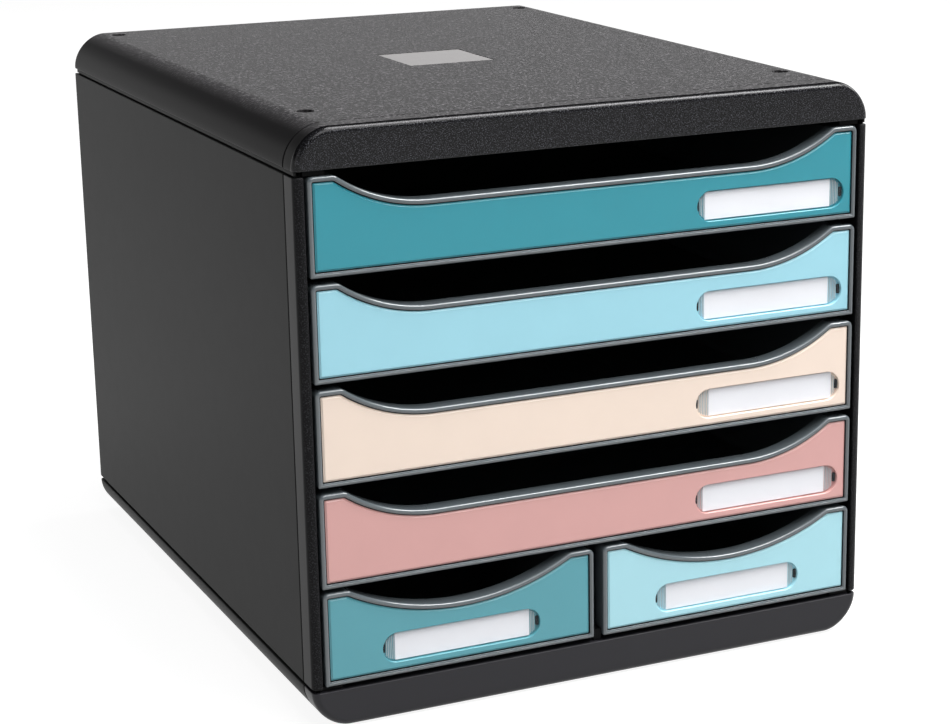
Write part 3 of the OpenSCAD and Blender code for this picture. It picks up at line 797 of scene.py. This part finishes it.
def coloured_front(d):
    """Coloured front: a border, a raised field with a bright bevel, and the label pocket."""
    solid = Solid()
    border = INSERT_EDGE + FRONT_GAP
    bevel = INSERT_EDGE + BEVEL_START
    seat_y = INSERT_REAR - FRONT_SEAT
    profile = [(INSERT_EDGE, INSERT_REAR), (INSERT_EDGE, seat_y), (border, seat_y)]
    profile += [(border + i, BORDER_Y + y) for i, y in reversed(edge_rounding(BORDER_R, 3))]
    profile += [(bevel, BORDER_Y),
                (bevel + BEVEL_W * BEVEL_EASE, BORDER_Y - FIELD_H * BEVEL_EASE_H),
                (bevel + BEVEL_W * (1 - BEVEL_EASE), d.field_y + FIELD_H * BEVEL_EASE_H),
                (bevel + BEVEL_W, d.field_y),
                (bevel + BEVEL_W + FIELD_LAND, d.field_y)]
    rings = [d.ring(solid, inset, y) for inset, y in profile]
    solid.skin(rings)
    pocket = [d.stadium_ring(solid, WINDOW_W / 2 + widening, WINDOW_H / 2 + widening, d.field_y + depth)
              for widening, depth in POCKET_PROFILE]
    solid.skin(pocket)
    front_loops, rear_loops = d.notch_holes(solid, d.field_y + POCKET_DEPTH, INSERT_REAR)
    solid.fill(rings[-1], [pocket[0]])
    solid.fill(pocket[-1], front_loops)
    solid.fill(rings[0], rear_loops)
    material = smooth_plastic(d.prefix + "_colour", d.colour, FRONT_ROUGHNESS)
    solid.build(d.prefix + "_colour_front", material, d.body, [d.prefix + "_front"], d.slot)


GAP_CLEAR = 0.03      # how far the near-black ring of painted shade keeps clear of the rim and of the front's border
GAP_FRONT = 0.05      # how far it lies behind the border
GAP_REAR = 0.35       # how far it ends before the back of the front


def shadow_gap(d):
    """Painted shade: a near-black ring in the gap between the rim and the coloured front, where that gap is
    in shade.
    """
    ring = Solid()
    outer, inner = RIM_T + GAP_CLEAR, INSERT_EDGE + FRONT_GAP - GAP_CLEAR
    front, back = BORDER_Y + GAP_FRONT, INSERT_REAR - GAP_REAR
    corners = ((outer, back), (outer, front), (inner, front), (inner, back))
    rings = [d.ring(ring, inset, y) for inset, y in corners]
    ring.skin(rings + rings[:1])
    ring.build(d.prefix + "_shadow_gap", SEAM_SHADE_PAINT, d.body, [d.prefix + "_tray"], "tray_plastic")


WINDOW_EDGE_R = 0.25
RIB_GAP = 0.6         # from the card's end to the first grip rib
RIB_PITCH = 0.85
RIB_W = 0.36
RIB_T = 0.4
RIB_R = 0.1
RIB_PLAY = 0.02       # between the window's back and the ribs
RIB_REACH = 0.9       # length of a rib, as a share of the window's height there
RIB_END = NOTCH_INNER - RIB_W / 2
NOTCH_SHADE_PLAY = 0.1      # around a painted-shade block in its notch and behind the window
NOTCH_SHADE_DEPTH = 0.5     # how far it reaches into the notch
NOTCH_SHADE_R = 0.2
CARD_GAP = 0.08       # between the window's back and the card
CARD_R = 0.3
CARD_EDGE = 0.05      # bevel along the card's front


def window(d):
    """Clear window: a plate with rounded edges, frosted ribs behind its ends, and in each notch a near-black
    block, painted shade of the hole.
    """
    solid, ribs, notch_shades = Solid(), Solid(), Solid()
    half_w, half_h = WINDOW_W / 2 - WINDOW_GAP, WINDOW_H / 2 - WINDOW_GAP
    stations = [(i, d.window_y + y) for i, y in edge_rounding(WINDOW_EDGE_R, 3)] + [(0.0, d.window_back)]
    solid.capped([d.stadium_ring(solid, half_w - i, half_h - i, y) for i, y in stations])
    x, z = d.window
    rib_y = d.window_back + RIB_PLAY
    for side, card_end in ((-1, d.card_low.x), (1, d.card_high.x)):
        start = abs(card_end - x) + RIB_GAP
        for k in range(1 + int((RIB_END - start) / RIB_PITCH)):
            away = start + RIB_PITCH * k
            reach = RIB_REACH * math.sqrt(half_h**2 - max(0.0, away + RIB_W - half_w + half_h)**2)
            middle = x + side * away
            ribs.block((middle - RIB_W / 2, rib_y, z - reach),
                       (middle + RIB_W / 2, rib_y + RIB_T, z + reach), RIB_R)
    # Near-black blocks that fill the notches: painted shade of the holes behind them
    half_notch_shade = NOTCH_H / 2 - NOTCH_SHADE_PLAY
    for x0, x1 in d.notch_spans():
        notch_shades.block((x0 + NOTCH_SHADE_PLAY, d.window_back + NOTCH_SHADE_PLAY, z - half_notch_shade),
                      (x1 - NOTCH_SHADE_PLAY, d.field_y + POCKET_DEPTH + NOTCH_SHADE_DEPTH, z + half_notch_shade), NOTCH_SHADE_R)
    node = [d.prefix + "_window"]
    solid.build(d.prefix + "_clear_window", CLEAR_PLASTIC, d.body, node, "clear_plastic")
    ribs.build(d.prefix + "_window_ribs", RIB_PLASTIC, d.body, node, "clear_plastic")
    notch_shades.build(d.prefix + "_window_notch_shades", NOTCH_SHADE_PAINT, d.body, node, "clear_plastic")


def card(d):
    """Stiff label from the floor of its pocket up to the back of the window."""
    low, high = d.card_low, d.card_high
    front = d.window_back + CARD_GAP
    solid = Solid()
    solid.capped([solid.ring([(x, y, z) for x, z in
                              rounded_rect(low.x, low.z, high.x, high.z, [CARD_R] * 4, inset, 3)])
                  for inset, y in ((CARD_EDGE, front), (0.0, front + CARD_EDGE), (0.0, high.y))])
    solid.build(d.prefix + "_card", CARD, d.body, [d.prefix + "_label"], "label_paper")


DRAWERS = (  # prefix of the nodes, body, colour of the front and its slot
    ("drawer_1", "drawer_1", srgb(42, 140, 155), "teal_plastic"),
    ("drawer_2", "drawer_2", srgb(157, 212, 227), "aqua_plastic"),
    ("drawer_3", "drawer_3", srgb(241, 222, 207), "peach_plastic"),
    ("drawer_4", "drawer_4", srgb(213, 162, 158), "rose_plastic"),
    ("left_small", "left_small_drawer", srgb(85, 156, 168), "small_teal_plastic"),
    ("right_small", "right_small_drawer", srgb(172, 222, 233), "small_aqua_plastic"),
)


def drawers():
    for row in DRAWERS:
        d = Drawer(*row)
        for make in (tray, coloured_front, shadow_gap, window, card):
            make(d)


def runners():
    """The runner racks and the divider keep their CAD shape and get their own plastic."""
    for node in ("left_runner_rack", "right_runner_rack", "centre_divider"):
        mesh = frame["nodes"][node].data
        mesh.materials.clear()
        mesh.materials.append(RUNNER_PLASTIC)


# ---------- stage, light and camera ----------

FLOOR_HALF = 6.0      # half the floor's width, in metres
FLOOR_LIT = 0.3       # grey that the floor reflects to the object
FLOOR_SEEN = 0.25     # grey that takes up the shadow where the floor is seen
FLOOR_GLOW = 0.9      # added to that grey
FILL = 0.2            # strength of the world as a light
HORIZON_TOP = 0.15    # sine of the elevation up to which it looks white
CEILING_START = 0.26  # and of the elevation from which it is as dim as the ceiling
CEILING = 0.02


def seen_directly(tree):
    """1 for camera, glossy and transmission rays, otherwise 0."""
    path = tree.nodes.new("ShaderNodeLightPath")
    seen = path.outputs["Is Camera Ray"]
    for ray in ("Is Glossy Ray", "Is Transmission Ray"):
        seen = math_node(tree, "MAXIMUM", seen, path.outputs[ray])
    return seen


def stage():
    """A wide white floor that looks white to the camera and keeps a soft shadow."""
    mesh = bpy.data.meshes.new("floor")
    corners = [(-FLOOR_HALF, -FLOOR_HALF, 0), (FLOOR_HALF, -FLOOR_HALF, 0),
               (FLOOR_HALF, FLOOR_HALF, 0), (-FLOOR_HALF, FLOOR_HALF, 0)]
    mesh.from_pydata(corners, [], [(0, 1, 2, 3)])
    floor = bpy.data.objects.new("floor", mesh)
    bpy.context.scene.collection.objects.link(floor)
    material = bpy.data.materials.new("white_floor")
    material.use_nodes = True
    tree = material.node_tree
    inputs = tree.nodes["Principled BSDF"].inputs
    inputs["Roughness"].default_value = 1.0
    inputs["Specular IOR Level"].default_value = 0.0
    inputs["Emission Color"].default_value = (1, 1, 1, 1)
    seen = seen_directly(tree)
    tree.links.new(mix_colours(tree, seen, [FLOOR_LIT] * 3, [FLOOR_SEEN] * 3), inputs["Base Color"])
    tree.links.new(math_node(tree, "MULTIPLY", seen, FLOOR_GLOW), inputs["Emission Strength"])
    mesh.materials.append(material)


def world():
    """White low down, where it stands behind the object, dim above, and grey as fill light."""
    sky = bpy.data.worlds.new("studio")
    bpy.context.scene.world = sky
    sky.use_nodes = True
    tree = sky.node_tree
    background = tree.nodes["Background"]
    background.inputs["Color"].default_value = (1, 1, 1, 1)
    direction = tree.nodes.new("ShaderNodeSeparateXYZ")
    tree.links.new(tree.nodes.new("ShaderNodeTexCoord").outputs["Generated"], direction.inputs["Vector"])
    height = map_range(tree, direction.outputs["Z"], HORIZON_TOP, CEILING_START, 1.0, CEILING)
    strength = map_range(tree, seen_directly(tree), 0.0, 1.0, FILL, height)
    tree.links.new(strength, background.inputs["Strength"])


def area_light(name, place, target, size, power):
    """A rectangular lamp at place that faces target; size is its width and height, all in metres."""
    data = bpy.data.lights.new(name, "AREA")
    data.shape = "RECTANGLE"
    data.size, data.size_y = size
    data.energy = power
    lamp = bpy.data.objects.new(name, data)
    lamp.location = place
    lamp.rotation_euler = (Vector(target) - Vector(place)).to_track_quat("-Z", "Y").to_euler()
    bpy.context.scene.collection.objects.link(lamp)


def lights():
    """Large lamps over the object, and weak ones that open up its sides."""
    area_light("overhead", (0.45, -0.9, 1.5), (0, -0.1, 0.15), (2.0, 0.8), 29.5)
    area_light("edge", (0.61, -0.4, 1.55), (0, -0.1, 0.25), (0.4, 1.25), 34)
    area_light("right", (1.9, 0.25, 1.3), (0.1, -0.1, 0.15), (0.8, 0.8), 14)
    area_light("left", (-1.8, -0.9, 0.9), (0, 0, 0.1), (1.2, 1.0), 4)
    area_light("backdrop", (1.1, 2.2, 0.55), (0.1, 0, 0.25), (2.6, 0.9), 1.1)


def camera():
    """Camera at the photograph's place. The picture's plane is shifted, as the photograph is a crop."""
    focal_px, width, height = 2391.27, 950, 724
    centre_x, centre_y = 538.96, 381.77
    place = (-0.45885, -1.0911, 0.42867)
    right = Vector((0.90411, -0.42713, -0.01176)).normalized()
    forward = Vector((0.40861, 0.87229, -0.2686)).normalized()
    up = right.cross(forward)
    data = bpy.data.cameras.new("camera")
    data.sensor_width = 36
    data.lens = focal_px / width * data.sensor_width
    data.shift_x = (width / 2 - centre_x) / width
    data.shift_y = (centre_y - height / 2) / width
    data.clip_start = 0.05
    lens = bpy.data.objects.new("camera", data)
    turned = Matrix((right, up, -forward)).transposed().to_4x4()
    lens.matrix_world = Matrix.Translation(place) @ turned
    bpy.context.scene.collection.objects.link(lens)
    bpy.context.scene.camera = lens


for build in (lid_and_base, badge, feet, panels_and_strips, drawers, runners, stage, world, lights, camera):
    build()
bpy.context.scene.view_settings.view_transform = "Standard"
